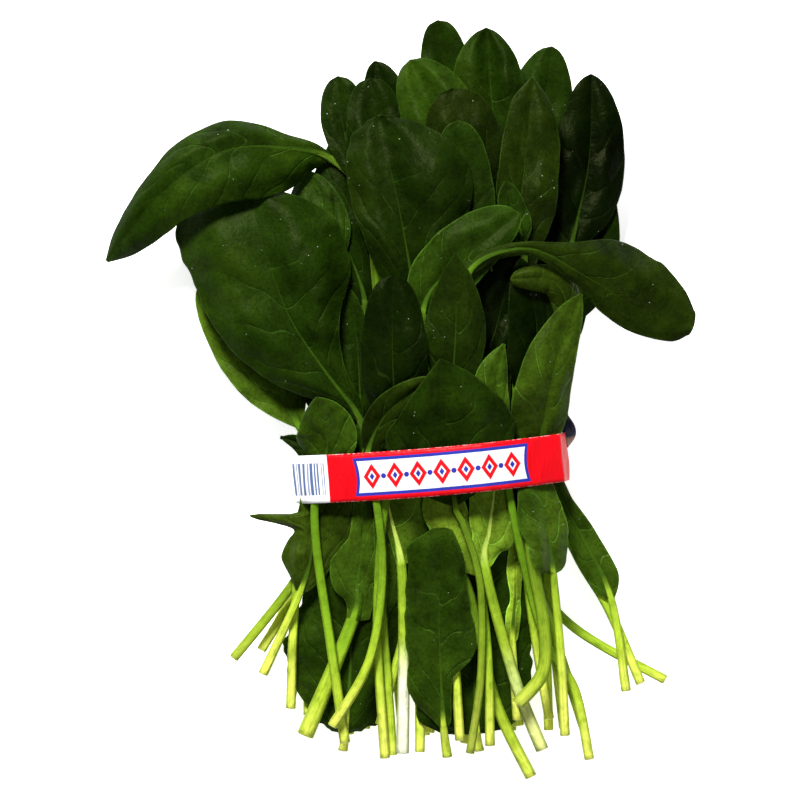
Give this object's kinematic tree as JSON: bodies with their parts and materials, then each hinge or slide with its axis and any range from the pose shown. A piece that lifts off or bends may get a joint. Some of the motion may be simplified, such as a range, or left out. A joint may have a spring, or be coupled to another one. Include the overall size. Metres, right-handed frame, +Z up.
{
  "type": "spinach bunch",
  "caption": "Bunch of fresh leafy greens lying flat: many stalked leaves laid over each other and held by one printed paper band.",
  "frame": {"origin": "centre of the bounding box in plan, on the table", "axes": "+Y towards the leaf tips, -Y towards the cut stems, +Z up from the table"},
  "size_m": [0.2362, 0.304, 0.0611],
  "materials": {
    "leaf": "waxy fresh leaf with pale yellow-green stem",
    "label": "glossy printed label strip"
  },
  "bodies": {
    "root": {"leaf_back_1_1": "leaf", "leaf_back_1_2": "leaf", "leaf_back_1_3": "leaf", "leaf_back_1_4": "leaf", "leaf_back_1_5": "leaf", "leaf_back_2_1": "leaf", "leaf_back_2_2": "leaf", "leaf_back_2_3": "leaf", "leaf_back_2_4": "leaf", "leaf_back_2_5": "leaf", "leaf_back_3_1": "leaf", "leaf_back_3_2": "leaf", "leaf_back_3_3": "leaf", "leaf_back_3_4": "leaf", "leaf_right_b": "leaf", "leaf_top_b": "leaf", "leaf_right_a": "leaf", "leaf_left_c": "leaf", "leaf_left_d": "leaf", "leaf_left_e": "leaf", "leaf_left_f": "leaf", "leaf_left_h": "leaf", "leaf_left_g": "leaf", "leaf_left_a": "leaf", "leaf_top_c": "leaf", "leaf_left_b": "leaf", "leaf_top_a": "leaf", "leaf_top_d": "leaf", "leaf_top_e": "leaf", "leaf_top_f": "leaf", "leaf_right_c": "leaf", "leaf_centre_a": "leaf", "leaf_centre_big": "leaf", "leaf_small_a": "leaf", "leaf_low_j": "leaf", "leaf_low_l": "leaf", "leaf_left_j": "leaf", "leaf_low_b": "leaf", "leaf_low_c": "leaf", "leaf_low_g": "leaf", "leaf_low_h": "leaf", "leaf_shadow_a": "leaf", "leaf_shadow_b": "leaf", "leaf_low_k": "leaf", "leaf_right_e": "leaf", "leaf_centre_b": "leaf", "leaf_right_d": "leaf", "leaf_low_d": "leaf", "leaf_centre_c": "leaf", "leaf_low_m": "leaf", "leaf_low_f": "leaf", "leaf_low_e": "leaf", "leaf_centre_d": "leaf", "leaf_right_f": "leaf", "leaf_right_g": "leaf", "leaf_low_i": "leaf", "leaf_left_i": "leaf", "leaf_front_a": "leaf", "leaf_front_b": "leaf", "label_band": "label"}
  },
  "joints": []
}
